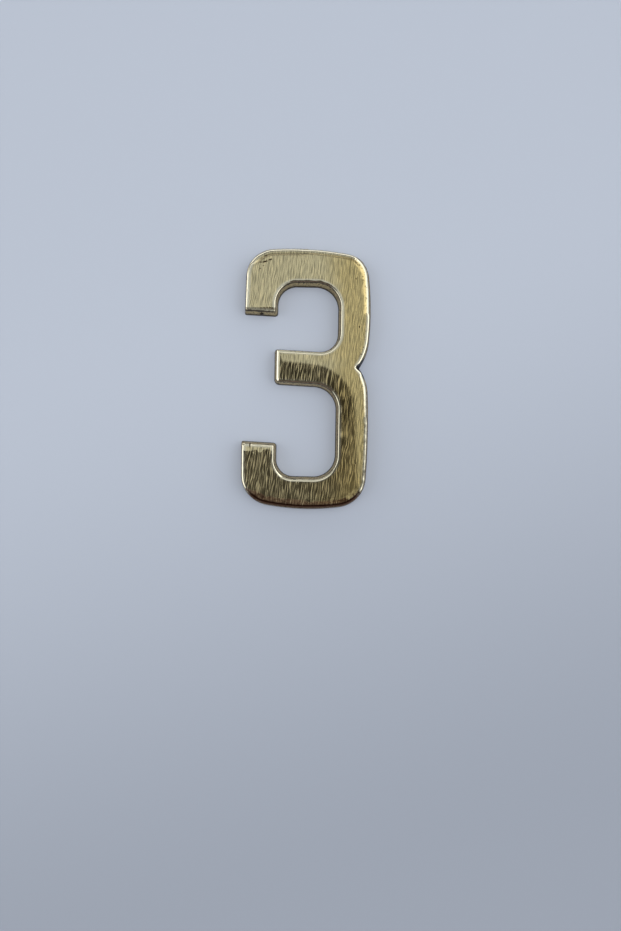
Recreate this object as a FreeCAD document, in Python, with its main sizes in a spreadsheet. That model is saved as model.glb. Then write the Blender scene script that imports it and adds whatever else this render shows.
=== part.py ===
"""Door numeral: the figure 3 as one brass casting, about 50 mm tall.

The numeral lies on its back. X runs across it, Y runs up it, and Z comes out of its face.
The origin is in the middle of the flat back. The outlines are drawn with the foot of the
figure on the X axis, and the body is then moved down by half its height. Sizes are those of
the back, where the casting is largest: the walls lean inwards towards the face by the draft
that lets the pattern leave the sand.
"""

import FreeCAD
import Part
import Sketcher

import math
import os

NODE = "numeral_3"

SIZES = {
    # the whole casting, in millimetres and degrees
    "height": 50.0,
    "width": 24.5,
    "thickness": 2.6,
    "draft_angle": 9.0,
    "outer_rim_radius": 0.6,
    "bay_rim_radius": 0.25,
    # outer sides: each is a very flat arc whose high point has a place of its own. On the
    # top and bottom that is a place beside the middle, and on the sides a share of the height
    "top_crown_radius": 60.0,
    "top_crown_place": -2.5,
    "upper_side_crown_radius": 60.0,
    "upper_side_crown_share": 0.754,
    "lower_side_crown_radius": 150.0,
    "lower_side_crown_share": 0.302,
    "lower_side_setback": 0.14,
    "bottom_crown_radius": 45.0,
    "bottom_crown_place": 0.4,
    "left_side_crown_radius": 1000.0,
    "left_side_crown_share": 0.32,
    # outer corners
    "top_left_radius": 5.6,
    "top_right_radius": 5.0,
    "bottom_right_radius": 5.9,
    "bottom_left_radius": 5.9,
    # the notch where the two bowls meet on the right, at a share of the height; its depth is
    # that at the face
    "notch_share": 0.5456,
    "notch_depth": 2.6,
    "upper_shoulder_radius": 10.5,
    "lower_shoulder_radius": 8.8,
    # stroke widths
    "top_bar": 7.2,
    "bottom_bar": 6.28,
    "upper_limb": 6.26,
    "lower_limb": 6.31,
    "upper_leg": 6.63,
    "lower_leg": 6.73,
    "arm_stroke": 6.83,
    # how far the legs stand out from the bars beside the bays
    "upper_leg_drop": 5.77,
    "lower_leg_rise": 6.38,
    # the arm: how far its end stands in from the left side, and its top corner as a share of
    # the height
    "arm_setback": 6.1,
    "arm_top_share": 0.615,
    "arm_slope": 2.5,
    "leg_end_slope": 2.5,
    # inner corners of the two bays, as shares of the bay's width
    "upper_bay_left_share": 0.31,
    "upper_bay_right_share": 0.379,
    "upper_bay_heel_share": 0.293,
    "lower_bay_shoulder_share": 0.389,
    "lower_bay_right_share": 0.371,
    "lower_bay_left_share": 0.2915,
    # corners at the stroke ends, as they are at the face
    "arm_corner_radius": 0.2,
    "arm_chin_radius": 0.6,
    "leg_corner_radius": 0.2,
    # how far the open side of the bays is cut past the casting, and the cut's own corners
    "bay_overrun": 3.0,
    "bay_mouth_radius": 1.0,
}

# how far a wall leans in between the back and the face
DRAFT_RUN = "Sizes.thickness * tan(Sizes.draft_angle)"

# the points of a sketch element, and the sketch's own origin
START, END, CENTRE = 1, 2, 3
ORIGIN = -1

# two points closer than this, in millimetres, are the same point
TOUCHING = 1e-4


def fill_sheet(document):
    """The driving dimensions, one to a row, each under its own name."""
    sheet = document.addObject("Spreadsheet::Sheet", "Sizes")
    for row, (name, value) in enumerate(SIZES.items(), start=1):
        sheet.set(f"A{row}", name)
        sheet.set(f"B{row}", str(value))
        sheet.setAlias(f"B{row}", name)
    document.recompute()


def origin_plane(body, role):
    """One of the body's own origin planes."""
    for feature in body.Origin.OriginFeatures:
        if feature.Role == role:
            return feature
    raise ValueError(f"the body has no plane {role}")


class Circle:
    """The circle that an arc of an outline lies on."""

    def __init__(self, x, y, radius):
        self.x = x
        self.y = y
        self.radius = radius

    def heading(self, other):
        """The direction from this centre to another one."""
        return math.atan2(other.y - self.y, other.x - self.x)


def circle_between(first, first_reach, second, second_reach, radius, left):
    """A circle whose centre stands at two given distances from two other centres."""
    across = second.x - first.x
    up = second.y - first.y
    gap = math.hypot(across, up)
    along = (gap**2 + first_reach**2 - second_reach**2) / (2 * gap)
    side = math.sqrt(first_reach**2 - along**2)
    if not left:
        side = -side
    x = first.x + (across * along - up * side) / gap
    y = first.y + (up * along + across * side) / gap
    return Circle(x, y, radius)


class Round:
    """A round corner between two straight edges that would meet at a mark."""

    def __init__(self, before, mark, after, radius):
        arrive = math.atan2(mark[1] - before[1], mark[0] - before[0])
        leave = math.atan2(after[1] - mark[1], after[0] - mark[0])
        turn = math.remainder(leave - arrive, math.tau)
        setback = radius * math.tan(abs(turn) / 2)
        outward = -math.copysign(math.pi / 2, turn)
        self.left_turn = turn > 0
        self.first = (mark[0] - setback * math.cos(arrive), mark[1] - setback * math.sin(arrive))
        self.last = (mark[0] + setback * math.cos(leave), mark[1] + setback * math.sin(leave))
        self.circle = Circle(
            self.first[0] - radius * math.cos(arrive + outward),
            self.first[1] - radius * math.sin(arrive + outward),
            radius,
        )
        self.directions = (arrive + outward, leave + outward)


class Drawing:
    """A sketch parallel to the back whose sizes are tied to the sheet."""

    def __init__(self, body, name):
        self.sketch = body.newObject("Sketcher::SketchObject", name)
        self.sketch.AttachmentSupport = (origin_plane(body, "XY_Plane"), [""])
        self.sketch.MapMode = "FlatFace"

    def value(self, formula):
        """What a formula on the sheet comes to, as a plain number."""
        return float(self.sketch.evalExpression(formula))

    def arc(self, circle, start, end):
        """An arc of a circle, counter-clockwise between two directions from its centre."""
        if end < start:
            end += math.tau
        centre = FreeCAD.Vector(circle.x, circle.y, 0)
        whole = Part.Circle(centre, FreeCAD.Vector(0, 0, 1), circle.radius)
        return self.sketch.addGeometry(Part.ArcOfCircle(whole, start, end), False)

    def line(self, start, end):
        segment = Part.LineSegment(FreeCAD.Vector(*start, 0), FreeCAD.Vector(*end, 0))
        return self.sketch.addGeometry(segment, False)

    def mark(self, name, x_formula, y_formula):
        """A construction point."""
        place = (self.value(x_formula), self.value(y_formula))
        point = self.sketch.addGeometry(Part.Point(FreeCAD.Vector(*place, 0)), True)
        self.tie_place(name, point, START, x_formula, y_formula)
        return point, place

    def rule(self, *parts):
        return self.sketch.addConstraint(Sketcher.Constraint(*parts))

    def tie(self, name, formula, *parts):
        """A constraint whose value follows a formula on the sheet."""
        index = self.rule(*parts, self.value(formula))
        self.sketch.renameConstraint(index, name)
        self.sketch.setExpression(f"Constraints.{name}", formula)

    def tie_place(self, name, geometry, position, x_formula, y_formula):
        """Both coordinates of a point, measured from the origin."""
        self.tie(f"{name}_x", x_formula, "DistanceX", ORIGIN, START, geometry, position)
        self.tie(f"{name}_y", y_formula, "DistanceY", ORIGIN, START, geometry, position)


def draw_outside(body):
    """The outer outline at the face: five crowned sides, four round corners and the notch.

    It runs counter-clockwise. Each arc has the centre that it has on the back, and a radius
    less by the draft. Where a small circle touches a large one from inside, they meet on the
    line from the large one's centre through the small one's.
    """
    drawing = Drawing(body, "OutsideOutline")
    drawing.sketch.setExpression("AttachmentOffset.Base.z", "Sizes.thickness")
    right = "Sizes.width / 2"
    lower_right = f"{right} - Sizes.lower_side_setback"
    crown_places = {
        "bottom_crown": ("Sizes.bottom_crown_place", "Sizes.bottom_crown_radius"),
        "lower_side_crown": (
            f"{lower_right} - Sizes.lower_side_crown_radius",
            "Sizes.height * Sizes.lower_side_crown_share",
        ),
        "upper_side_crown": (
            f"{right} - Sizes.upper_side_crown_radius",
            "Sizes.height * Sizes.upper_side_crown_share",
        ),
        "top_crown": ("Sizes.top_crown_place", "Sizes.height - Sizes.top_crown_radius"),
        "left_side_crown": (
            f"Sizes.left_side_crown_radius - {right}",
            "Sizes.height * Sizes.left_side_crown_share",
        ),
    }
    crowns = {}
    for name, (x_formula, y_formula) in crown_places.items():
        radius = drawing.value(f"Sizes.{name}_radius - {DRAFT_RUN}")
        crowns[name] = Circle(drawing.value(x_formula), drawing.value(y_formula), radius)

    # each round corner, and the crowned sides before and after it
    corner_sides = {
        "bottom_right": ("bottom_crown", "lower_side_crown"),
        "top_right": ("upper_side_crown", "top_crown"),
        "top_left": ("top_crown", "left_side_crown"),
        "bottom_left": ("left_side_crown", "bottom_crown"),
    }
    corners = {}
    for name, sides in corner_sides.items():
        before, after = (crowns[side] for side in sides)
        radius = drawing.value(f"Sizes.{name}_radius - {DRAFT_RUN}")
        corners[name] = circle_between(
            before, before.radius - radius, after, after.radius - radius, radius, left=True
        )

    # the two shoulders run from their sides to the bottom of the notch
    notch_place = (f"{right} - Sizes.notch_depth", "Sizes.height * Sizes.notch_share")
    notch = Circle(*(drawing.value(formula) for formula in notch_place), 0)
    side = crowns["lower_side_crown"]
    radius = drawing.value(f"Sizes.lower_shoulder_radius - {DRAFT_RUN}")
    lower_shoulder = circle_between(side, side.radius - radius, notch, radius, radius, left=False)
    side = crowns["upper_side_crown"]
    radius = drawing.value(f"Sizes.upper_shoulder_radius - {DRAFT_RUN}")
    upper_shoulder = circle_between(notch, radius, side, side.radius - radius, radius, left=False)

    crown_ends = {
        "bottom_crown": (corners["bottom_left"], corners["bottom_right"]),
        "lower_side_crown": (corners["bottom_right"], lower_shoulder),
        "upper_side_crown": (upper_shoulder, corners["top_right"]),
        "top_crown": (corners["top_right"], corners["top_left"]),
        "left_side_crown": (corners["top_left"], corners["bottom_left"]),
    }
    arcs = {}
    for name, (before, after) in crown_ends.items():
        crown = crowns[name]
        arcs[name] = drawing.arc(crown, crown.heading(before), crown.heading(after))
        drawing.tie_place(name, arcs[name], CENTRE, *crown_places[name])
    for name, (before, after) in corner_sides.items():
        start = crowns[before].heading(corners[name])
        end = crowns[after].heading(corners[name])
        arcs[name] = drawing.arc(corners[name], start, end)
        drawing.rule("Tangent", arcs[before], END, arcs[name], START)
        drawing.rule("Tangent", arcs[name], END, arcs[after], START)
    arcs["lower_shoulder"] = drawing.arc(
        lower_shoulder,
        crowns["lower_side_crown"].heading(lower_shoulder),
        lower_shoulder.heading(notch),
    )
    arcs["upper_shoulder"] = drawing.arc(
        upper_shoulder,
        upper_shoulder.heading(notch),
        crowns["upper_side_crown"].heading(upper_shoulder),
    )
    drawing.rule("Tangent", arcs["lower_side_crown"], END, arcs["lower_shoulder"], START)
    drawing.rule("Coincident", arcs["lower_shoulder"], END, arcs["upper_shoulder"], START)
    drawing.rule("Tangent", arcs["upper_shoulder"], END, arcs["upper_side_crown"], START)
    drawing.tie_place("notch", arcs["upper_shoulder"], START, *notch_place)
    for name, arc in arcs.items():
        drawing.tie(f"{name}_radius", f"Sizes.{name}_radius - {DRAFT_RUN}", "Radius", arc)
    return drawing.sketch


def draw_bays(body):
    """Everything that is cut away inside the figure, as one outline open to the left.

    It runs clockwise round the two bays on the back, from mark to mark. Each straight edge
    passes through two marks, and the outline is rounded off at every mark.
    """
    drawing = Drawing(body, "BayOutline")
    left = "-Sizes.width / 2"
    outside = f"{left} - Sizes.bay_overrun"
    upper_leg_inside = f"{left} + Sizes.upper_leg"
    lower_leg_inside = f"{left} + Sizes.lower_leg"
    upper_limb_inside = "Sizes.width / 2 - Sizes.upper_limb"
    lower_limb_inside = "Sizes.width / 2 - Sizes.lower_side_setback - Sizes.lower_limb"
    upper_leg_end = "Sizes.height - Sizes.top_bar - Sizes.upper_leg_drop"
    lower_leg_end = "Sizes.bottom_bar + Sizes.lower_leg_rise"
    arm_end = f"{left} + Sizes.arm_setback"
    arm_top = "Sizes.height * Sizes.arm_top_share"
    arm_bottom = f"{arm_top} - Sizes.arm_stroke / cos(Sizes.arm_slope)"
    bay_top = "Sizes.height - Sizes.top_bar"
    upper_bay_width = "(Sizes.width - Sizes.upper_leg - Sizes.upper_limb)"
    lower_bay_width = (
        "(Sizes.width - Sizes.lower_leg - Sizes.lower_side_setback - Sizes.lower_limb)"
    )

    def slope(height, from_x, to_x, angle):
        """The height at to_x of an edge that falls to the right from a known height."""
        return f"{height} - ({to_x} - ({from_x})) * tan(Sizes.{angle})"

    upper_mouth = slope(upper_leg_end, upper_leg_inside, outside, "leg_end_slope")
    lower_mouth = slope(lower_leg_end, lower_leg_inside, outside, "leg_end_slope")
    heel = slope(arm_top, arm_end, upper_limb_inside, "arm_slope")
    bay_shoulder = slope(arm_bottom, arm_end, lower_limb_inside, "arm_slope")
    marks = {
        "upper_mouth": (outside, upper_mouth, "Sizes.bay_mouth_radius"),
        "upper_leg_corner": (
            upper_leg_inside,
            upper_leg_end,
            f"Sizes.leg_corner_radius + {DRAFT_RUN}",
        ),
        "upper_bay_left": (
            upper_leg_inside,
            bay_top,
            f"Sizes.upper_bay_left_share * {upper_bay_width}",
        ),
        "upper_bay_right": (
            upper_limb_inside,
            bay_top,
            f"Sizes.upper_bay_right_share * {upper_bay_width}",
        ),
        "upper_bay_heel": (
            upper_limb_inside,
            heel,
            f"Sizes.upper_bay_heel_share * {upper_bay_width}",
        ),
        "arm_corner": (arm_end, arm_top, f"Sizes.arm_corner_radius + {DRAFT_RUN}"),
        "arm_chin": (arm_end, arm_bottom, f"Sizes.arm_chin_radius + {DRAFT_RUN}"),
        "lower_bay_shoulder": (
            lower_limb_inside,
            bay_shoulder,
            f"Sizes.lower_bay_shoulder_share * {lower_bay_width}",
        ),
        "lower_bay_right": (
            lower_limb_inside,
            "Sizes.bottom_bar",
            f"Sizes.lower_bay_right_share * {lower_bay_width}",
        ),
        "lower_bay_left": (
            lower_leg_inside,
            "Sizes.bottom_bar",
            f"Sizes.lower_bay_left_share * {lower_bay_width}",
        ),
        "lower_leg_corner": (
            lower_leg_inside,
            lower_leg_end,
            f"Sizes.leg_corner_radius + {DRAFT_RUN}",
        ),
        "lower_mouth": (outside, lower_mouth, "Sizes.bay_mouth_radius"),
    }
    names = list(marks)
    following = dict(zip(names, names[1:] + names[:1]))
    previous = {after: before for before, after in following.items()}
    points = {}
    places = {}
    for name, (x_formula, y_formula, _) in marks.items():
        points[name], places[name] = drawing.mark(name, x_formula, y_formula)
    rounds = {}
    for name in names:
        radius = drawing.value(marks[name][2])
        before = places[previous[name]]
        after = places[following[name]]
        rounds[name] = Round(before, places[name], after, radius)

    edges = {}
    for name in names:
        after = following[name]
        edges[name] = drawing.line(rounds[name].last, rounds[after].first)
        drawing.rule("PointOnObject", points[name], START, edges[name])
        drawing.rule("PointOnObject", points[after], START, edges[name])
    for name in names:
        bend = rounds[name]
        first, last = bend.directions
        if bend.left_turn:
            arc = drawing.arc(bend.circle, first, last)
            arriving, leaving = START, END
        else:
            arc = drawing.arc(bend.circle, last, first)
            arriving, leaving = END, START
        drawing.rule("Tangent", edges[previous[name]], END, arc, arriving)
        drawing.rule("Tangent", arc, leaving, edges[name], START)
        drawing.tie(f"{name}_radius", marks[name][2], "Radius", arc)
    return drawing.sketch


def face_edges(shape):
    """The edges that lie in the plane of the face."""
    top = shape.BoundBox.ZMax
    names = []
    for number, edge in enumerate(shape.Edges, start=1):
        box = edge.BoundBox
        if top - box.ZMin < TOUCHING and top - box.ZMax < TOUCHING:
            names.append(f"Edge{number}")
    return names


def breakthrough_edges(shape, before):
    """The edges where a cut has broken through the skin that the casting had before."""
    skin = Part.Compound(before.Faces)
    old_edges = Part.Compound(before.Edges)
    names = []
    for number, edge in enumerate(shape.Edges, start=1):
        first, last = edge.ParameterRange
        middle = Part.Vertex(edge.valueAt((first + last) / 2))
        on_skin = middle.distToShape(skin)[0] < TOUCHING
        on_back = middle.Z < TOUCHING
        if on_skin and not on_back and middle.distToShape(old_edges)[0] > TOUCHING:
            names.append(f"Edge{number}")
    return names


def make_numeral(document):
    """The casting: a drafted slab, its rounded outer rim, the bays and their finer rim."""
    body = document.addObject("PartDesign::Body", "Numeral")
    body.Label = NODE
    body.setExpression("Placement.Base.y", "-Sizes.height / 2")

    slab = body.newObject("PartDesign::Pad", "Slab")
    slab.Profile = draw_outside(body)
    slab.Reversed = True
    slab.setExpression("Length", "Sizes.thickness")
    slab.setExpression("TaperAngle", "Sizes.draft_angle")
    document.recompute()

    outer_rim = body.newObject("PartDesign::Fillet", "OuterRim")
    outer_rim.Base = (slab, face_edges(slab.Shape))
    outer_rim.setExpression("Radius", "Sizes.outer_rim_radius")
    document.recompute()

    bays = body.newObject("PartDesign::Pocket", "Bays")
    bays.Profile = draw_bays(body)
    bays.Reversed = True
    bays.setExpression("Length", "Sizes.thickness")
    bays.setExpression("TaperAngle", "Sizes.draft_angle")
    document.recompute()

    bay_rim = body.newObject("PartDesign::Fillet", "BayRim")
    bay_rim.Base = (bays, breakthrough_edges(bays.Shape, outer_rim.Shape))
    bay_rim.setExpression("Radius", "Sizes.bay_rim_radius")
    body.Tip = bay_rim
    document.recompute()
    return body


def check(document, body):
    for item in document.Objects:
        if "Invalid" in item.State or "Error" in item.State:
            raise RuntimeError(f"{item.Name} failed: {item.getStatusString()}")
    shape = body.Shape
    if shape.isNull() or not shape.isValid() or len(shape.Solids) != 1:
        raise RuntimeError(f"{body.Label} is not one valid solid")
    box = shape.optimalBoundingBox()
    print(f"{body.Label}: {box.XLength:.3f} x {box.YLength:.3f} x {box.ZLength:.3f} mm")
    print(f"volume {shape.Volume:.1f} mm3, {len(shape.Faces)} faces")


def main():
    document = FreeCAD.newDocument("DoorNumeral")
    fill_sheet(document)
    body = make_numeral(document)
    check(document, body)
    os.makedirs("parts", exist_ok=True)
    body.Shape.exportStep(os.path.join("parts", f"{body.Label}.step"))


main()
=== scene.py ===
# %% [markdown]
# # A cast brass door number
# The object is a figure 3 about 50 mm tall, cast in brass and glued to a door. Its face was
# brushed on a belt, its outer rim polished, and its walls left as they came out of the
# mould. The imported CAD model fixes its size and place, so the script loads it first and
# builds the looks around it. Every length is in metres.

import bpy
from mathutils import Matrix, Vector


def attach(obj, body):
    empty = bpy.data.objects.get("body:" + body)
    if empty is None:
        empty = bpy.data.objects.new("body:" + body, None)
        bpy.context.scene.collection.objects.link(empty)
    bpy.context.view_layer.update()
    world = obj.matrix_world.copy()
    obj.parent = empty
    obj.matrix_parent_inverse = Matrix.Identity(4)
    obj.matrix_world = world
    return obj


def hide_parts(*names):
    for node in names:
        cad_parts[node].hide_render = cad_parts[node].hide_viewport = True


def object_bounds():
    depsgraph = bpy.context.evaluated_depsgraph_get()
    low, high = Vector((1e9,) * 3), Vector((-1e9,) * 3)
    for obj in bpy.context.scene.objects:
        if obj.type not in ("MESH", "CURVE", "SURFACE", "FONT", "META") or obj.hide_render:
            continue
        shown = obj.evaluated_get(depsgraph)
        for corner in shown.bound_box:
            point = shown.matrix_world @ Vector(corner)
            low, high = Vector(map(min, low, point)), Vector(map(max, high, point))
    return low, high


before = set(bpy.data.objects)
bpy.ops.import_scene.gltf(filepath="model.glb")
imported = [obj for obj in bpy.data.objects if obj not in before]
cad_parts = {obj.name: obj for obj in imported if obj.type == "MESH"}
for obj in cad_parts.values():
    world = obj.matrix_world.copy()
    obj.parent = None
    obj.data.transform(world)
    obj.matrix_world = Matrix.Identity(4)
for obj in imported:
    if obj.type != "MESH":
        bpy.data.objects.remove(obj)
cad_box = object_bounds()
casting_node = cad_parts["numeral_3"]


def in_mm(box):
    """The two corners of a box, in millimetres and rounded."""
    return [[round(1000 * length, 3) for length in corner] for corner in box]


print("CAD box in mm:", in_mm(cad_box))

# %% Modules and units
import math

import bmesh
import bpy
from mathutils import Vector, noise
from mathutils.bvhtree import BVHTree

MM = 0.001
BACK_HEIGHT = cad_box[0].z
FACE_HEIGHT = cad_box[1].z
print("thickness in mm:", round((FACE_HEIGHT - BACK_HEIGHT) / MM, 3))

# %% [markdown]
# ## The camera
# The picture was taken from almost straight above and from close by, so the face stands a
# little outside the back at the top of the figure. A camera that looks straight down keeps
# the outline free of slant, and a small shift brings the figure to its place in the frame.
# Turning the camera by one degree leans the figure as it leans in the picture.

# %% Camera
IMAGE_WIDTH = 621
IMAGE_HEIGHT = 931
SENSOR = 36.0
FOCAL_PIXELS = 646.0
CAMERA_PLACE = Vector((-0.48 * MM, -12.76 * MM, 125.0 * MM))
CAMERA_TURN = math.radians(1.0)
PIXEL_BELOW_CAMERA = (302.0, 445.0)

camera_data = bpy.data.cameras.new("camera")
camera_data.sensor_width = SENSOR
camera_data.lens = FOCAL_PIXELS * SENSOR / IMAGE_HEIGHT
camera_data.shift_x = ((IMAGE_WIDTH - 1) / 2 - PIXEL_BELOW_CAMERA[0]) / IMAGE_HEIGHT
camera_data.shift_y = (PIXEL_BELOW_CAMERA[1] - (IMAGE_HEIGHT - 1) / 2) / IMAGE_HEIGHT
camera_data.clip_start = 10.0 * MM
camera = bpy.data.objects.new("camera", camera_data)
camera.location = CAMERA_PLACE
camera.rotation_euler = (0.0, 0.0, CAMERA_TURN)
bpy.context.scene.collection.objects.link(camera)
bpy.context.scene.camera = camera
print("lens in mm:", round(camera_data.lens, 2))

# %% [markdown]
# ## An even skin for the casting
# The CAD node is a shell of long thin triangles, which can't be dented or rounded. The node
# itself stays as it is. A copy of its mesh is merged and given a fine even grid by a voxel
# remesh, as clay is before sculpting. A voxel of 0.16 mm keeps the rim and stays well under
# the limit of triangles for one piece.

# %% Copy and merge
MERGE = 0.001 * MM

shell = bmesh.new()
shell.from_mesh(casting_node.data)
bmesh.ops.remove_doubles(shell, verts=shell.verts, dist=MERGE)
bmesh.ops.recalc_face_normals(shell, faces=shell.faces)
shell_mesh = bpy.data.meshes.new("casting_shell")
shell.to_mesh(shell_mesh)
print("merged copy:", len(shell.verts), "vertices")

# %% Remesh
VOXEL = 0.16 * MM

casting = bpy.data.objects.new("brass_casting", shell_mesh)
bpy.context.scene.collection.objects.link(casting)
remesh = casting.modifiers.new("even_skin", "REMESH")
remesh.mode = "VOXEL"
remesh.voxel_size = VOXEL
evaluated = casting.evaluated_get(bpy.context.evaluated_depsgraph_get())
skin_mesh = bpy.data.meshes.new_from_object(evaluated)
casting.modifiers.clear()
print("even skin:", len(skin_mesh.polygons), "faces")

# %% [markdown]
# ## How far a point is from the outline
# Rounding and wear follow the edges of the figure, so the script needs the distance from any
# point to the outline of the back. The edges between the flat back and the walls are
# extruded upwards into a curtain, and a search tree finds the nearest place on it.

# %% Curtain round the outline
CURTAIN = 4.0 * MM
UPRIGHT = 0.9

outline_edges = []
for edge in shell.edges:
    on_back = all(abs(vert.co.z - BACK_HEIGHT) < MERGE for vert in edge.verts)
    if on_back and any(abs(face.normal.z) < UPRIGHT for face in edge.link_faces):
        outline_edges.append(edge)
raised = bmesh.ops.extrude_edge_only(shell, edges=outline_edges)["geom"]
raised_verts = [item for item in raised if isinstance(item, bmesh.types.BMVert)]
curtain_faces = {item for item in raised if isinstance(item, bmesh.types.BMFace)}
bmesh.ops.translate(shell, verts=raised_verts, vec=(0.0, 0.0, CURTAIN))
others = [face for face in shell.faces if face not in curtain_faces]
bmesh.ops.delete(shell, geom=others, context="FACES")
print("curtain faces:", len(shell.faces))
curtain = BVHTree.FromBMesh(shell)
shell.free()


def outline_near(point):
    """The nearest place on the outline, and the distance to it."""
    place, _, _, distance = curtain.find_nearest(Vector((point.x, point.y, CURTAIN / 2)))
    return place, distance


# %% [markdown]
# ## Worn and rounded edges
# Belt grinding and polishing roll the face over near its edges, and on this casting not
# evenly: the foot is rolled the widest, and the left end of the arm and the upper right side
# are well rounded. Each such edge is a stretch of the outline that faces one way, with a
# width and a depth. The face sinks towards the edge as the square of the way, or nearly in a
# straight slope where the belt left a facet, as along the head. Where the depth is below
# zero, the edge is crisper than that of the solid instead.


# %% A stretch of the outline
def smooth(value, low, high):
    """A smooth step that is 0 at low and 1 at high; low may be the larger one."""
    share = min(1.0, max(0.0, (value - low) / (high - low)))
    return share * share * (3.0 - 2.0 * share)


STRETCH_FADE = 0.3 * MM
FACING_FADE = (0.45, 0.85)


class SoftEdge:
    """A stretch of the outline where the face rolls over: where, facing which way, how much."""

    def __init__(self, low, high, facing, width, depth, power=2.0):
        self.low = [length * MM for length in low]
        self.high = [length * MM for length in high]
        self.facing = Vector(facing).normalized()
        self.width = width * MM
        self.depth = depth * MM
        self.power = power

    def share(self, place, outward):
        """How much of this roll a point near that place of the outline takes, from 0 to 1."""
        inside = 1.0
        for axis in range(2):
            low, high = self.low[axis], self.high[axis]
            inside *= smooth(place[axis], low - STRETCH_FADE, low + STRETCH_FADE)
            inside *= smooth(place[axis], high + STRETCH_FADE, high - STRETCH_FADE)
        return inside * smooth(outward.dot(self.facing), *FACING_FADE)


# %% Table of rounded edges
CRISP = {"width": 0.5, "depth": -0.13, "power": 1.15}
SOFT_EDGES = {
    # two corners of the stretch in mm, the way it faces, width and depth in mm, power
    "foot_left": SoftEdge((-12.5, -26), (0, -20), (0, -1, 0), 1.9, 0.26, 1.6),
    "foot_right": SoftEdge((0, -26), (12.5, -20), (0, -1, 0), 1.5, 0.20, 1.6),
    "upper_leg_end": SoftEdge((-13, 11), (-5.5, 14), (0, -1, 0), **CRISP),
    "arm_end": SoftEdge((-7.5, -2.5), (-5, 6.5), (-1, 0, 0), 0.9, 0.20),
    "arm_top": SoftEdge((-7, 4), (8, 8), (0, 1, 0), 0.5, 0.06, 1.1),
    "bay_floor": SoftEdge((-5, -20), (7, -15), (0, 1, 0), 0.45, 0.09, 1.1),
    "upper_right_side": SoftEdge((7, 12.5), (13, 24), (1, 0.2, 0), 1.5, 0.29),
    "waist": SoftEdge((9.5, 1), (13, 12.3), (1, 0, 0), **CRISP),
    "lower_shoulder": SoftEdge((7, -7), (13, 1), (1, 0, 0), 1.2, 0.15),
    "lower_right_side": SoftEdge((7, -22), (13, -7), (1, 0, 0), **CRISP),
    "left_side": SoftEdge((-13, -22), (-9, 22), (-1, 0, 0), **CRISP),
    "head_left": SoftEdge((-13, 17), (0, 26), (0, 1, 0), 1.2, 0.17, 1.3),
    "head_right": SoftEdge((0, 17), (9, 26), (0, 1, 0), 1.0, 0.10, 1.3),
}
print("rounded edges:", ", ".join(SOFT_EDGES))

# %% [markdown]
# ## Marks of the mould and of use
# The walls are as rough as the sand they were cast in. The face has a few pin holes, the end
# wall of the upper leg has a blow hole, and the lower leg has a nick. The grid is cut finer
# round the pin holes first, because a hole is hardly wider than two of its squares.

# %% Pin holes
PIN_HOLES = [
    # place on the face in mm, radius, depth
    (9.10, 19.02, 0.15, 0.10),
    (10.40, 19.40, 0.12, 0.08),
    (10.41, 18.77, 0.14, 0.10),
    (8.72, 17.06, 0.12, 0.08),
    (9.89, 9.88, 0.19, 0.14),
    (9.64, -15.98, 0.19, 0.14),
    (10.71, 6.01, 0.13, 0.08),
    (10.32, 4.69, 0.15, 0.09),
]
REFINE_REACH = 0.42 * MM
REFINE_CUTS = 3
LEVEL = 0.02 * MM


def refine(mesh, centre):
    """Cuts the grid of the face finer round a pin hole."""
    near = set()
    for vert in mesh.verts:
        on_face = abs(vert.co.z - FACE_HEIGHT) < LEVEL
        if on_face and (vert.co.xy - centre).length < REFINE_REACH:
            near.add(vert)
    edges = [edge for edge in mesh.edges if edge.verts[0] in near and edge.verts[1] in near]
    bmesh.ops.subdivide_edges(mesh, edges=edges, cuts=REFINE_CUTS, use_grid_fill=True)


skin = bmesh.new()
skin.from_mesh(skin_mesh)
for pin_x, pin_y, _, _ in PIN_HOLES:
    refine(skin, Vector((pin_x * MM, pin_y * MM)))
print("after refining:", len(skin.faces), "faces")

# %% Blow hole and nick
BLOW_HOLE = Vector((-8.75, 12.15, 1.5)) * MM
BLOW_HOLE_RADIUS = 0.62 * MM
BLOW_HOLE_DEPTH = 0.35 * MM
NICK_START = Vector((-10.45, -12.3)) * MM
NICK_END = Vector((-10.43, -13.7)) * MM
NICK_WIDTH = 0.22 * MM
NICK_DEPTH = 0.03 * MM


def bowl(distance, radius):
    """The depth of a round hollow, from 1 in its middle to 0 at its edge."""
    if distance >= radius:
        return 0.0
    return (1.0 - (distance / radius) ** 2) ** 2


def way_to_stretch(point, start, end):
    """How far a point is from a straight stretch."""
    along = end - start
    share = (point - start).dot(along) / along.length_squared
    return (point - start - along * min(1.0, max(0.0, share))).length


print("nick in mm:", round((NICK_END - NICK_START).length / MM, 2), "long")

# %% [markdown]
# ## Three small forms of this casting
# The solid is plain where the real casting departs from it by a few tenths of a millimetre:
# the notch is cut further in at its vertex, the left side stands more upright, and the face
# slopes away to the end of the lower leg over the whole width of the leg. Each is a function
# that gives the move of one point. It fades in smoothly, because a hard border would leave a
# crease in a face that mirrors the room.

# %% The vertex of the notch
NOTCH_VERTEX = Vector((9.85, 2.15)) * MM
NOTCH_REACH = 1.1 * MM
NOTCH_PUSH = 0.34 * MM
NOTCH_RISE = (0.4 * MM, 1.6 * MM)


def notch_push(point):
    """How far a point near the vertex of the notch moves in, past the vertex of the solid."""
    near = smooth((point.xy - NOTCH_VERTEX).length, NOTCH_REACH, 0.0)
    return NOTCH_PUSH * near * smooth(point.z, *NOTCH_RISE)


# %% The upright left side
LEFT_PUSH = 0.16 * MM
LEFT_FACING = (0.15, 0.90)
LEFT_ZONE = (-8.5 * MM, -9.3 * MM)
LEFT_BAND = (1.1 * MM, 0.6 * MM)
LEFT_RISE = (0.5 * MM, 1.7 * MM)


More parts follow.
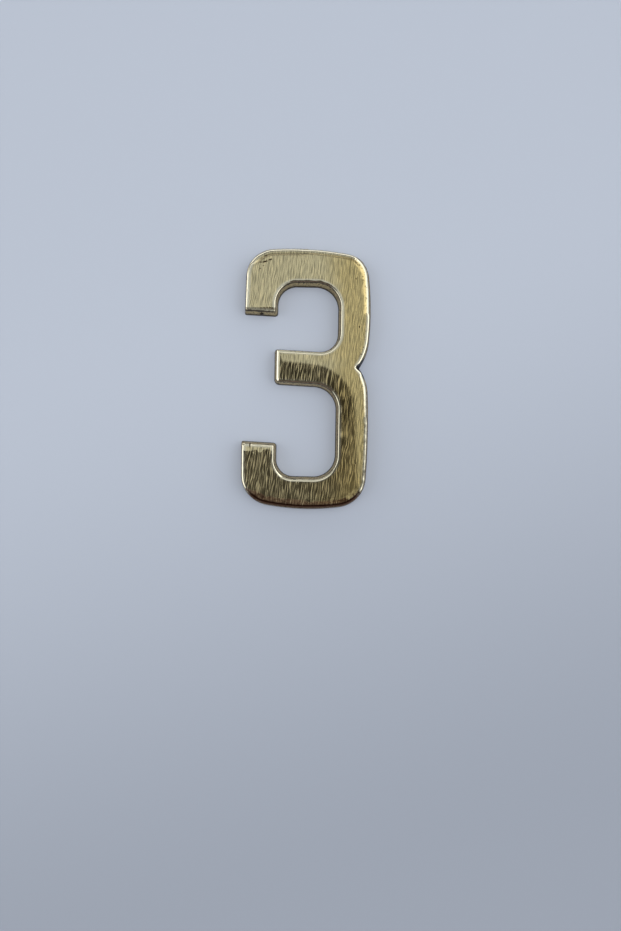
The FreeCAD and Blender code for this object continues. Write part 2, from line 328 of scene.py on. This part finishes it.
def left_push(point, outward, gap):
    """How far a point of the left side moves out, so that its wall stands more upright."""
    share = smooth(-outward.x, *LEFT_FACING) * smooth(point.x, *LEFT_ZONE)
    share *= smooth(gap, *LEFT_BAND)
    return LEFT_PUSH * share * smooth(point.z, *LEFT_RISE)


# %% The sloping end of the lower leg
LEG_END = -12.35 * MM
LEG_RIGHT = -5.0 * MM
LEG_REACH = (-18.0 * MM, -11.0 * MM)
SLOPE_LENGTH = 2.70 * MM
SLOPE_DEPTH = 0.20 * MM
SLOPE_POWER = 1.5
SLOPE_WANDER = 0.12


def slope_sink(point, ripple):
    """How far the face sinks towards the end of the lower leg."""
    on_leg = point.x <= LEG_RIGHT and LEG_REACH[0] <= point.y <= LEG_REACH[1]
    way = (LEG_END - point.y) / SLOPE_LENGTH - SLOPE_WANDER * ripple
    if not on_leg or way > 1.0:
        return 0.0
    return SLOPE_DEPTH * (1.0 - max(0.0, way)) ** SLOPE_POWER


# %% [markdown]
# ## Moving the points
# A point of the face sinks by the rolled edges, a faint wave that polishing leaves, the pin
# holes and the nick. A point of a wall moves inwards by noise of two grain sizes, as sand
# leaves it, and by the blow hole. All moves are worked out before the first point moves, so
# none is measured on a changed shape. The distance to the outline is kept as an attribute,
# in millimetres, because the colours follow it later.

# %% How far the face sinks
WALL_RUN = 0.41 * MM
WAVE_LENGTH = 0.9 * MM
WAVE_DEPTH = 0.018 * MM
WAVE_BAND = (1.0 * MM, 0.6 * MM)
EDGE_WANDER = 0.09


def face_sink(point, place, outward, gap):
    """How far a point of the face sinks, from its nearest place on the outline."""
    sink = 0.0
    ripple = noise.noise(point / WAVE_LENGTH)
    for edge in SOFT_EDGES.values():
        way = (gap - WALL_RUN) / edge.width + EDGE_WANDER * ripple
        if way < 1.0:
            depth = edge.share(place, outward) * edge.depth
            sink += depth * (1.0 - max(0.0, way)) ** edge.power
    wave = smooth(gap, *WAVE_BAND) * WAVE_DEPTH * (0.5 + ripple)
    sink += wave + slope_sink(point, ripple)
    for pin_x, pin_y, radius, depth in PIN_HOLES:
        distance = (point.xy - Vector((pin_x, pin_y)) * MM).length
        sink += depth * MM * bowl(distance, radius * MM)
    nick_way = way_to_stretch(point.xy, NICK_START, NICK_END)
    return sink + NICK_DEPTH * bowl(nick_way, NICK_WIDTH)


# %% How far a wall is hollowed
SAND_GRAIN = 0.40 * MM
FINE_GRAIN = 0.4 * SAND_GRAIN
GRAIN_SHARES = (0.6, 0.4)
SAND_DEPTH = 0.10 * MM
SAND_LEVEL = 0.1


def wall_hollow(point):
    """How far a point of a wall moves inwards."""
    rough = GRAIN_SHARES[0] * noise.noise(point / SAND_GRAIN)
    rough += GRAIN_SHARES[1] * noise.noise(point / FINE_GRAIN)
    hollow = SAND_DEPTH * (SAND_LEVEL + rough)
    hollow += BLOW_HOLE_DEPTH * bowl((point - BLOW_HOLE).length, BLOW_HOLE_RADIUS)
    return max(0.0, hollow)


# %% Work out the moves
FACE_TILT = 0.2
FACE_FROM = BACK_HEIGHT + 0.5 * MM
WALL_TILT = (0.6, 0.3)
WALL_FROM = (0.0, 0.5 * MM)

gap_layer = skin.verts.layers.float.new("edge_gap")
skin.normal_update()
moves = []
for vert in skin.verts:
    place, gap = outline_near(vert.co)
    outward = place - vert.co
    outward.z = 0.0
    outward.normalize()
    vert[gap_layer] = gap / MM
    move = Vector((0.0, 0.0, 0.0))
    if vert.normal.z > FACE_TILT and vert.co.z > FACE_FROM:
        move.z -= face_sink(vert.co, place, outward, gap)
    wall = smooth(abs(vert.normal.z), *WALL_TILT) * smooth(vert.co.z, *WALL_FROM)
    if wall > 0.0:
        move -= vert.normal * wall * wall_hollow(vert.co)
    move.x -= notch_push(vert.co) + left_push(vert.co, outward, gap)
    moves.append(move)
print("largest move in mm:", round(max(move.length for move in moves) / MM, 3))

# %% Move the points, and keep them inside the box of the CAD model
BACK_EDGE = 0.13 * MM

for vert, move in zip(skin.verts, moves):
    if vert.co.z < BACK_EDGE and vert[gap_layer] < BACK_EDGE / MM:
        place, _ = outline_near(vert.co)
        vert.co.xy = place.xy
    vert.co += move
    for axis in range(3):
        vert.co[axis] = min(cad_box[1][axis], max(cad_box[0][axis], vert.co[axis]))
print("moved points:", len(moves))

# %% Hand the skin to the piece
for face in skin.faces:
    face.smooth = True
skin.to_mesh(skin_mesh)
skin.free()
casting.data = skin_mesh
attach(casting, "root")
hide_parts("numeral_3")
skin_mesh.calc_loop_triangles()
print("casting:", len(skin_mesh.loop_triangles), "triangles")

# %% [markdown]
# ## Writing shader maths as Python
# A brushed surface needs many small sums. Placing each Math node by hand hides the idea, so
# a small class wraps a socket: adding or multiplying two wires adds the node that does it.


# %% Wires
class Wire:
    """One output of a node. Sums of wires and numbers add Math nodes to the tree."""

    def __init__(self, tree, socket=None):
        self.tree = tree
        self.socket = socket

    def node(self, kind, settings, inputs, output=0):
        """Any node: its type, its settings, then the values or wires of its inputs."""
        made = self.tree.nodes.new("ShaderNode" + kind)
        for name, value in settings.items():
            setattr(made, name, value)
        for name, value in inputs.items():
            if isinstance(value, Wire):
                self.tree.links.new(value.socket, made.inputs[name])
            else:
                made.inputs[name].default_value = value
        return Wire(self.tree, made.outputs[output] if made.outputs else None)

    def maths(self, operation, *values):
        return self.node("Math", {"operation": operation}, dict(enumerate(values)))

    def __add__(self, other):
        return self.maths("ADD", self, other)

    def __radd__(self, other):
        return self.maths("ADD", other, self)

    def __sub__(self, other):
        return self.maths("SUBTRACT", self, other)

    def __rsub__(self, other):
        return self.maths("SUBTRACT", other, self)

    def __mul__(self, other):
        return self.maths("MULTIPLY", self, other)

    def __rmul__(self, other):
        return self.maths("MULTIPLY", other, self)

    def __truediv__(self, other):
        return self.maths("DIVIDE", self, other)

    def __rtruediv__(self, other):
        return self.maths("DIVIDE", other, self)

    def lowest(self, other):
        return self.maths("MINIMUM", self, other)

    def highest(self, other):
        return self.maths("MAXIMUM", self, other)

    def size(self):
        return self.maths("ABSOLUTE", self)

    def root(self):
        return self.maths("SQRT", self)

    def sine(self):
        return self.maths("SINE", self)

    def step(self, low, high):
        """A smooth step that is 0 at low and 1 at high; low may be the larger one."""
        settings = {"interpolation_type": "SMOOTHSTEP"}
        if low < high:
            ends = {"From Min": low, "From Max": high, "To Min": 0.0, "To Max": 1.0}
        else:
            ends = {"From Min": high, "From Max": low, "To Min": 1.0, "To Max": 0.0}
        return self.node("MapRange", settings, {"Value": self, **ends})

    def blend(self, below, above):
        """The colour below where this wire is 0, and the colour above where it is 1."""
        inputs = {0: self, 6: below, 7: above}
        return self.node("Mix", {"data_type": "RGBA"}, inputs, output=2)

    def parts(self):
        """The three numbers of a vector."""
        return [self.node("SeparateXYZ", {}, {0: self}, output=n) for n in range(3)]

    def vector(self, x, y):
        """A vector of two numbers, and 0 as the third."""
        return self.node("CombineXYZ", {}, {0: x, 1: y})


# %% [markdown]
# ## Brushed brass
# Belt grinding leaves fine parallel lines that lean a little to the right and stand steeper
# on the right limb. The lines are pale and scatter light, and between them the metal is
# nearly a mirror. So it has two layers, one satin and one polished, and the lines say how
# much of each shows: the room stays sharp in the mirror, with a brushed haze over it. A belt
# leaves nearly even rows, which plain noise doesn't give, so most of the pattern is a sine
# across the brushing whose rows wander and fade. Stretched noise adds hairs and a few
# scratches, and a very faint bump of all these lines keeps the mirrored borders from being
# too clean.

# %% Coordinates of the brushing
LEAN = 0.105
LEAN_CHANGE = 2.5

brass = bpy.data.materials.new("brushed_brass")
brass.use_nodes = True
brass.node_tree.nodes.clear()
in_brass = Wire(brass.node_tree)
in_metal = in_brass.node("TexCoord", {}, {}, output="Object")
x, y, z = in_metal.parts()
gap = in_brass.node("Attribute", {"attribute_name": "edge_gap"}, {}, output="Fac")
across = x - y * (LEAN - x * LEAN_CHANGE)


def brush_lines(width, length, detail, seed):
    """Noise that is narrow across the brushing and long along it, about -0.5 to 0.5."""
    sample = in_brass.vector(across / (width * MM) + seed, y / (length * MM) + seed)
    settings = {"noise_dimensions": "2D", "normalize": True}
    inputs = {"Vector": sample, "Scale": 1.0, "Detail": detail, "Roughness": 0.6}
    return in_brass.node("TexNoise", settings, inputs) - 0.5


# %% Rows that the belt leaves
ROW_WANDER = 15.0
ROW_FADE = 2.0
ROW_STRENGTH = 0.55
FADE_SEED = 5.0


def belt_rows(period, seed):
    """Nearly even rows of lines that wander and fade along their way, about -0.5 to 0.5."""
    wander = brush_lines(1.0, 5.0, detail=1.0, seed=seed) * ROW_WANDER
    fade = brush_lines(0.45, 2.6, detail=0.0, seed=seed + FADE_SEED) * ROW_FADE
    strength = (fade + ROW_STRENGTH).highest(0.0).lowest(1.0)
    turns = across * (2.0 * math.pi / (period * MM)) + wander
    return turns.sine() * strength * 0.5


# %% Height of the brushing
HAIR_HEIGHT = 0.00008 * MM
FINE_HEIGHT = 0.00015 * MM
BROAD_HEIGHT = 0.0003 * MM
SCRATCH_DEPTH = 0.0002 * MM

hair_lines = brush_lines(0.17, 1.8, detail=0.0, seed=3.1)
fine_lines = belt_rows(0.45, seed=11.7)
broad_lines = brush_lines(0.60, 9.0, detail=1.0, seed=23.9)
scratches = brush_lines(0.12, 5.0, detail=0.0, seed=41.3).step(0.14, 0.26)
brushing = hair_lines * HAIR_HEIGHT + fine_lines * FINE_HEIGHT + broad_lines * BROAD_HEIGHT
brushing = brushing - scratches * SCRATCH_DEPTH
print("nodes of the brushing:", len(brass.node_tree.nodes))

# %% Face, walls and sand of the mould
FACE_BAND = (0.65, 1.0)
WALL_BAND = (0.55, 0.42)
SAND_HEIGHT = 0.09 * MM
RIM_BRUSHING = 0.25


def grain(scale, detail):
    """Noise all through the metal, about -0.5 to 0.5."""
    inputs = {"Vector": in_metal, "Scale": scale, "Detail": detail}
    return in_brass.node("TexNoise", {}, inputs) - 0.5


sand = grain(3000.0, 5.0)
face = gap.step(*FACE_BAND)
wall = gap.step(*WALL_BAND)
brushed = RIM_BRUSHING + (1.0 - RIM_BRUSHING) * face
height = brushing * brushed * (1.0 - wall) + sand * SAND_HEIGHT * wall
normal = in_brass.node("Bump", {}, {"Height": height, "Distance": 1.0, "Strength": 1.0})
print("fully brushed from", FACE_BAND[1], "mm inside the outline")

# %% Dark marks
MARKS = [
    # tarnish at the upper left: place and half lengths in mm, turn in degrees, raggedness
    (-7.16, 22.38, 0.48, 0.16, 18, 0.8),
    (-8.15, 21.98, 0.62, 0.20, 22, 0.9),
    (-8.95, 21.85, 0.40, 0.12, 5, 0.9),
    (-8.46, 21.19, 0.14, 0.12, 0, 0.8),
    (-9.10, 20.63, 0.24, 0.10, 40, 0.8),
    (-8.00, 23.10, 0.36, 0.14, 30, 0.9),
    # the nick at the lower leg
    (-10.46, -12.90, 0.62, 0.15, 90, 0.35),
    # a row of dots along the end of the upper leg
    (-8.80, 13.18, 0.20, 0.10, 0, 0.6),
    (-8.20, 13.20, 0.30, 0.12, 0, 0.6),
    (-7.60, 13.23, 0.20, 0.14, 0, 0.6),
    (-7.10, 13.23, 0.28, 0.14, 0, 0.6),
    (-6.62, 13.20, 0.24, 0.17, 0, 0.6),
]
PIN_HOLE_RAGGED = 0.1
MARK_EDGE = (1.1, 0.6)
dust = grain(4200.0, 2.0)


def spot(mark_x, mark_y, long_way, short_way, turn, ragged):
    """A ragged oval mark on the face, 1 inside it and 0 outside."""
    settings = {"vector_type": "TEXTURE"}
    inputs = {
        "Vector": in_metal,
        "Location": (mark_x * MM, mark_y * MM, 0.0),
        "Rotation": (0.0, 0.0, math.radians(turn)),
        "Scale": (long_way * MM, short_way * MM, 1.0),
    }
    local_x, local_y, _ = in_brass.node("Mapping", settings, inputs).parts()
    way = (local_x * local_x + local_y * local_y).root() + dust * (2.0 * ragged)
    return way.step(*MARK_EDGE)


# %% All marks as one mask
SPECK_SHARE = 0.8

spots = [spot(*mark) for mark in MARKS]
for pin_x, pin_y, radius, _ in PIN_HOLES:
    spots.append(spot(pin_x, pin_y, radius, radius, 0, PIN_HOLE_RAGGED))
marks = spots[0]
for later_spot in spots[1:]:
    marks = marks.highest(later_spot)
on_right = x.step(6.0 * MM, 9.0 * MM)
rim_band = gap.step(0.80, 0.95) * gap.step(1.45, 1.20)
specks = dust.step(0.10, 0.15) * rim_band * on_right
marks = marks.highest(specks * SPECK_SHARE)
print("marks:", len(spots))

# %% [markdown]
# ## Colours of the metal
# The brass is pale on the left and yellower on the right limb, and darker between the lines
# of the brushing. The polished rim is painted paler, nearly white, as a painted highlight,
# and painted dark in patches at the lower right as painted shade. The walls hold dark grime
# in the hollows of the sand, and have painted shade near the table and just under the rim;
# the blow hole and the notch are painted dark inside as painted shade. The foot is browner,
# darkest along its bottom edge. Each of these is a mask from 0 to 1 and a colour that is
# laid over the colours before it.

# %% Face
PALE_BRASS = (0.88, 0.77, 0.46, 1.0)
YELLOW_BRASS = (0.83, 0.67, 0.31, 1.0)
BETWEEN_SHADE = 0.52


def darker(shade, share):
    """The same colour, with that share of its light."""
    return (*(share * level for level in shade[:3]), 1.0)


clouds = grain(160.0, 2.0)
yellowing = (x + clouds * (8.0 * MM)).step(1.0 * MM, 9.0 * MM)
streaks = (hair_lines * 0.9 + fine_lines * 0.85 + 0.58).step(0.1, 0.9)
dark_pale = darker(PALE_BRASS, BETWEEN_SHADE)
dark_yellow = darker(YELLOW_BRASS, BETWEEN_SHADE)
dull = yellowing.blend(dark_pale, dark_yellow)
clean = yellowing.blend(PALE_BRASS, YELLOW_BRASS)
metal = streaks.blend(dull, clean)
print("pale brass between the lines:", [round(level, 3) for level in dark_pale])

# %% Rim
# The polished rim is painted a paler, nearly white brass as a painted highlight.
RIM_HIGHLIGHT_BRASS = (0.90, 0.84, 0.64, 1.0)
RIM_SHADE_SHARE = 0.16

# The rim is painted dark in patches at the lower right, as painted shade where its highlight
# fades.
patches = grain(1100.0, 2.0)
lower_right = x.step(7.5 * MM, 9.0 * MM) * y.step(-3.0 * MM, -5.5 * MM)
rim_painted_shade = (lower_right * (patches * 2.4 + 0.55)).highest(0.0)
rim_highlight_and_shade = rim_painted_shade.blend(RIM_HIGHLIGHT_BRASS, darker(RIM_HIGHLIGHT_BRASS, RIM_SHADE_SHARE))
metal = gap.step(1.25, 0.70).blend(metal, rim_highlight_and_shade)

# %% Painted shade line along the head, and pits on the right limb
# This dark colours real marks and pits, and also the painted shade lines.
MARK_DARK = (0.07, 0.05, 0.025, 1.0)
LINE_GAP = 1.52
LINE_GAP_CHANGE = 0.22
PIT_SHARE = 0.5

# A dark line is painted along the head just inside the rim, as painted shade where the rolled
# edge mirrors the dim room.
line_gap = LINE_GAP - x.step(-2.0 * MM, 1.0 * MM) * LINE_GAP_CHANGE
head_painted_shade = (gap - line_gap).size().step(0.32, 0.14) * y.step(21.0 * MM, 22.5 * MM)
metal = (head_painted_shade * (0.58 + dust)).blend(metal, MARK_DARK)
pits = dust.step(0.13, 0.20) * on_right * face
metal = (pits * PIT_SHARE).blend(metal, MARK_DARK)

# %% Walls, blow hole and notch
WALL_BRASS = (0.56, 0.43, 0.21, 1.0)
WALL_GRIME_AND_SHADE = (0.05, 0.035, 0.018, 1.0)
NOTCH_PAINTED_SHADE = (0.012, 0.010, 0.008, 1.0)


def oval(middle_x, middle_y, half_width, half_height):
    """0 in the middle of an oval and 1 on its line, growing as the square of the way."""
    share_x = (x - middle_x) / half_width
    share_y = (y - middle_y) / half_height
    return share_x * share_x + share_y * share_y


# The walls are painted darker near the table and just under the rim as painted shade; the dark
# in the hollows of the sand is grime.
painted_contact_shade = (z + sand * (2.2 * MM)).step(1.1 * MM, 0.3 * MM)
painted_shade_under_rim = (z + sand * (0.5 * MM)).step(2.05 * MM, 2.25 * MM) * gap.step(0.62, 0.45)
grime_and_painted_shade = painted_contact_shade.highest(painted_shade_under_rim).highest(sand.step(0.02, 0.14))
blow_hole = oval(BLOW_HOLE.x, BLOW_HOLE.y, 0.5 * MM, 0.45 * MM)
# The blow hole is painted dark inside as painted shade.
painted_blow_hole_shade = (blow_hole + dust * 1.2).step(1.0, 0.5)
# The notch is painted black inside as painted shade.
painted_notch_shade = oval(11.0 * MM, 2.10 * MM, 2.0 * MM, 2.4 * MM).step(1.0, 0.4)
wall_colour = grime_and_painted_shade.highest(painted_blow_hole_shade).blend(WALL_BRASS, WALL_GRIME_AND_SHADE)
wall_colour = painted_notch_shade.blend(wall_colour, NOTCH_PAINTED_SHADE)
base = wall.blend(metal, wall_colour)

# %% Brown foot
FOOT_BROWN = (0.10, 0.045, 0.025, 1.0)
MOTTLE_SHARE = 0.65
WALL_SPARED = 0.35

# The foot is browner in mottled patches and darkest along its bottom edge.
foot_zone = y.step(-20.6 * MM, -22.4 * MM) * gap.step(2.9, 1.4)
mottle = (patches + dust).step(-0.02, 0.16) * foot_zone
base = (mottle * MOTTLE_SHARE).blend(base, FOOT_BROWN)
foot_edge = y.step(-21.3 * MM, -22.3 * MM) * (gap + dust * 0.4).step(1.15, 0.85)
base = (foot_edge * (1.0 - wall * WALL_SPARED)).blend(base, FOOT_BROWN)

# %% Painted shade along the end of the upper leg, and the marks
LEG_LINE = 12.98 * MM

# A dark band along the end edge of the upper leg is painted shade.
painted_leg_end_shade = (y - LEG_LINE).size().step(0.42 * MM, 0.22 * MM) * x.step(-5.7 * MM, -6.1 * MM)
base = (painted_leg_end_shade * (0.62 + dust)).blend(base, MARK_DARK)
base = marks.blend(base, MARK_DARK)
print("nodes up to the colours:", len(brass.node_tree.nodes))

# %% Roughness, and the share of the satin layer
MIRROR = 0.02
WALL_ROUGH = 0.42
MARK_ROUGH = 0.5
SATIN_LEVEL = 0.10
SATIN_LEAST = 0.03
SATIN_MOST = 0.8

roughness = (wall * (WALL_ROUGH - MIRROR) + MIRROR).highest(marks * MARK_ROUGH)
satin_share = fine_lines * 1.15 + hair_lines * 0.9 + SATIN_LEVEL
satin_share = satin_share.highest(SATIN_LEAST).lowest(SATIN_MOST)
satin_share = satin_share * face * (1.0 - foot_zone * 0.5)

# %% Shader of the brass
SATIN = 0.55


def layer(rough):
    """Bare brass of that roughness."""
    inputs = {"Base Color": base, "Metallic": 1.0, "Roughness": rough, "Normal": normal}
    return in_brass.node("BsdfPrincipled", {}, inputs)


layers = {0: satin_share, 1: layer(roughness), 2: layer(SATIN)}
shader = in_brass.node("MixShader", {}, layers)
in_brass.node("OutputMaterial", {}, {"Surface": shader})
skin_mesh.materials.clear()
skin_mesh.materials.append(brass)
print("brass nodes:", len(brass.node_tree.nodes))

# %% [markdown]
# ## The table top
# The figure lies on a smooth pale blue-grey surface. Its colour is painted a little darker
# towards the lower right, as painted shade where the light falls off softly.

# %% Floor
FLOOR_SIZE = 3.0
FLOOR_PARTS = 8
FLOOR_DROP = 0.02 * MM

floor_mesh = bpy.data.meshes.new("table_top")
sheet = bmesh.new()
bmesh.ops.create_grid(
    sheet, x_segments=FLOOR_PARTS, y_segments=FLOOR_PARTS, size=FLOOR_SIZE / 2
)
bmesh.ops.translate(sheet, verts=sheet.verts, vec=(0.0, 0.0, BACK_HEIGHT - FLOOR_DROP))
sheet.to_mesh(floor_mesh)
sheet.free()
floor = bpy.data.objects.new("table_top", floor_mesh)
bpy.context.scene.collection.objects.link(floor)
print("table top:", FLOOR_SIZE, "m wide")


# %% Colour of the table top
def colour(red, green, blue):
    """A colour given as it looks on a screen, from 0 to 255, as the linear one of a shader."""
    levels = []
    for level in (red / 255, green / 255, blue / 255):
        if level <= 0.04045:
            levels.append(level / 12.92)
        else:
            levels.append(((level + 0.055) / 1.055) ** 2.4)
    return (*levels, 1.0)


TABLE_PALE = colour(184, 192, 206)
TABLE_DIM = colour(155, 162, 175)
TABLE_ROUGH = 0.8
TABLE_SHINE = 0.1

table = bpy.data.materials.new("table_top")
table.use_nodes = True
table.node_tree.nodes.clear()
in_table = Wire(table.node_tree)
table_x, table_y, _ = in_table.node("TexCoord", {}, {}, output="Object").parts()
# Painted shade: the table colour darkens towards the lower right.
painted_falloff_shade = (table_x * 0.3 - table_y).step(-20 * MM, 100 * MM)
shader = in_table.node(
    "BsdfPrincipled",
    {},
    {
        "Base Color": painted_falloff_shade.blend(TABLE_PALE, TABLE_DIM),
        "Roughness": TABLE_ROUGH,
        "Specular IOR Level": TABLE_SHINE,
    },
)
in_table.node("OutputMaterial", {}, {"Surface": shader})
floor_mesh.materials.append(table)
print("pale end of the table top:", [round(level, 3) for level in TABLE_PALE])

# %% [markdown]
# ## Light
# Metal shows what stands round it, so the light is a whole room painted on the world: a
# plain ceiling, bright soft panels to the sides, a warm dim area towards the foot, and a
# dark rounded card right above. A wall colour near the horizon matches the table. All of it
# together lights a colour at about the level it is written with.

# %% Directions in the room
TINY = 0.0001

world = bpy.data.worlds.new("soft_room")
world.use_nodes = True
world.node_tree.nodes.clear()
bpy.context.scene.world = world
in_room = Wire(world.node_tree)
dir_x, dir_y, dir_z = in_room.node("TexCoord", {}, {}, output="Generated").parts()
flat = (dir_x * dir_x + dir_y * dir_y).root()
tilt = flat.maths("ARCTAN2", flat, dir_z) * math.degrees(1.0)
flat_safe = flat.highest(TINY)
slope_of_x = dir_x / dir_z.highest(TINY)
slope_of_y = dir_y / dir_z.highest(TINY)


def panel(azimuth, half_width, low, high, soft=8.0):
    """A soft-edged patch of the room, by compass direction and by degrees from overhead."""
    toward = (math.cos(math.radians(azimuth)), math.sin(math.radians(azimuth)))
    facing = (dir_x * toward[0] + dir_y * toward[1]) / flat_safe
    outer = math.cos(math.radians(half_width + soft))
    inner = math.cos(math.radians(half_width - soft))
    upper = tilt.step(low - soft / 2, low + soft / 2)
    lower = tilt.step(high + soft / 2, high - soft / 2)
    return facing.step(outer, inner) * upper * lower


# %% Ceiling and panels
CEILING = (0.505, 0.53, 0.555, 1.0)
CEILING_NEAR_FOOT = (0.36, 0.37, 0.38, 1.0)
UPPER_WALL = (0.48, 0.50, 0.52, 1.0)
HORIZON = (0.48, 0.53, 0.61, 1.0)
WINDOW = (1.5, 1.5, 1.48, 1.0)
LEFT_LIGHT = (1.6, 1.6, 1.58, 1.0)
FAR_LIGHT = (1.5, 1.5, 1.5, 1.0)
NEAR_LIGHT = (1.1, 1.1, 1.1, 1.0)
PINK_DIM = (0.125, 0.088, 0.088, 1.0)
BROWN_DIM = (0.06, 0.03, 0.022, 1.0)
HEAD_DIM = (0.42, 0.44, 0.45, 1.0)
HEAD_DARK = (0.10, 0.105, 0.10, 1.0)

near_foot = (slope_of_x * 0.6 - slope_of_y).step(-0.02, 0.18)
ceiling = near_foot.blend(CEILING, CEILING_NEAR_FOOT)
room = tilt.step(22.0, 40.0).blend(ceiling, UPPER_WALL)
room = panel(108, 50, 26, 84).blend(room, HEAD_DIM)
room = panel(108, 50, 46, 66, soft=5.0).blend(room, HEAD_DARK)
room = panel(90, 60, 20, 27, soft=3.0).blend(room, NEAR_LIGHT)
room = panel(-100, 40, 13, 32, soft=7.0).blend(room, PINK_DIM)
room = panel(-95, 48, 30, 66, soft=5.0).blend(room, BROWN_DIM)
room = panel(12, 46, 26, 76, soft=2.5).blend(room, WINDOW)
room = tilt.step(72.0, 84.0).blend(room, HORIZON)
room = panel(180, 26, 36, 82).blend(room, LEFT_LIGHT)
room = panel(100, 58, 68, 96, soft=5.0).blend(room, FAR_LIGHT)
print("room nodes up to the panels:", len(world.node_tree.nodes))

# %% The dark card overhead
CARD_CENTRE = (-0.0772, -0.0563)
CARD_HALF = (0.1608, 0.1837)
CARD_LEAN = (0.054, 0.084)
CARD_CORNER = 0.062
CARD_SOFT = 0.002
CARD_TOP = (0.034, 0.032, 0.029, 1.0)
CARD_FOOT = (0.070, 0.067, 0.061, 1.0)
CARD_RIGHT = (0.17, 0.165, 0.150, 1.0)

card_x = slope_of_x + slope_of_y * CARD_LEAN[0] - CARD_CENTRE[0]
card_y = slope_of_y + slope_of_x * CARD_LEAN[1] - CARD_CENTRE[1]
past_x = (card_x.size() - (CARD_HALF[0] - CARD_CORNER)).highest(0.0)
past_y = (card_y.size() - (CARD_HALF[1] - CARD_CORNER)).highest(0.0)
past = (past_x * past_x + past_y * past_y).root() - CARD_CORNER
overhead = past.step(CARD_SOFT, -CARD_SOFT) * dir_z.step(0.0, 0.2)
card = slope_of_y.step(-0.02, 0.09).blend(CARD_FOOT, CARD_TOP)
to_right = slope_of_x * 0.96 - slope_of_y * 0.27
card = to_right.step(0.052, 0.092).blend(card, CARD_RIGHT)
room = overhead.blend(room, card)
light = in_room.node("Background", {}, {"Color": room, "Strength": 1.0})
in_room.node("OutputWorld", {}, {"Surface": light})
print("room nodes:", len(world.node_tree.nodes))

# %% [markdown]
# ## A soft lamp
# The painted room lights the table top from all sides, and so hardly casts a shadow there.
# One wide lamp straight above adds to its light and leaves a soft shadow close to the
# figure. The metal would mirror it as a bright square, so it is kept out of reflections.

# %% Lamp overhead
LAMP_HEIGHT = 0.7
LAMP_WIDTH = 0.35
LAMP_POWER = 1.75

lamp_data = bpy.data.lights.new("overhead_softbox", "AREA")
lamp_data.shape = "SQUARE"
lamp_data.size = LAMP_WIDTH
lamp_data.energy = LAMP_POWER
lamp = bpy.data.objects.new("overhead_softbox", lamp_data)
lamp.location = (0.0, 0.0, LAMP_HEIGHT)
lamp.visible_glossy = False
bpy.context.scene.collection.objects.link(lamp)
print("lamp:", LAMP_POWER, "W at", LAMP_HEIGHT, "m")

# %% [markdown]
# ## Picture settings
# The Standard view shows a colour as it is written.

bpy.context.scene.view_settings.view_transform = "Standard"
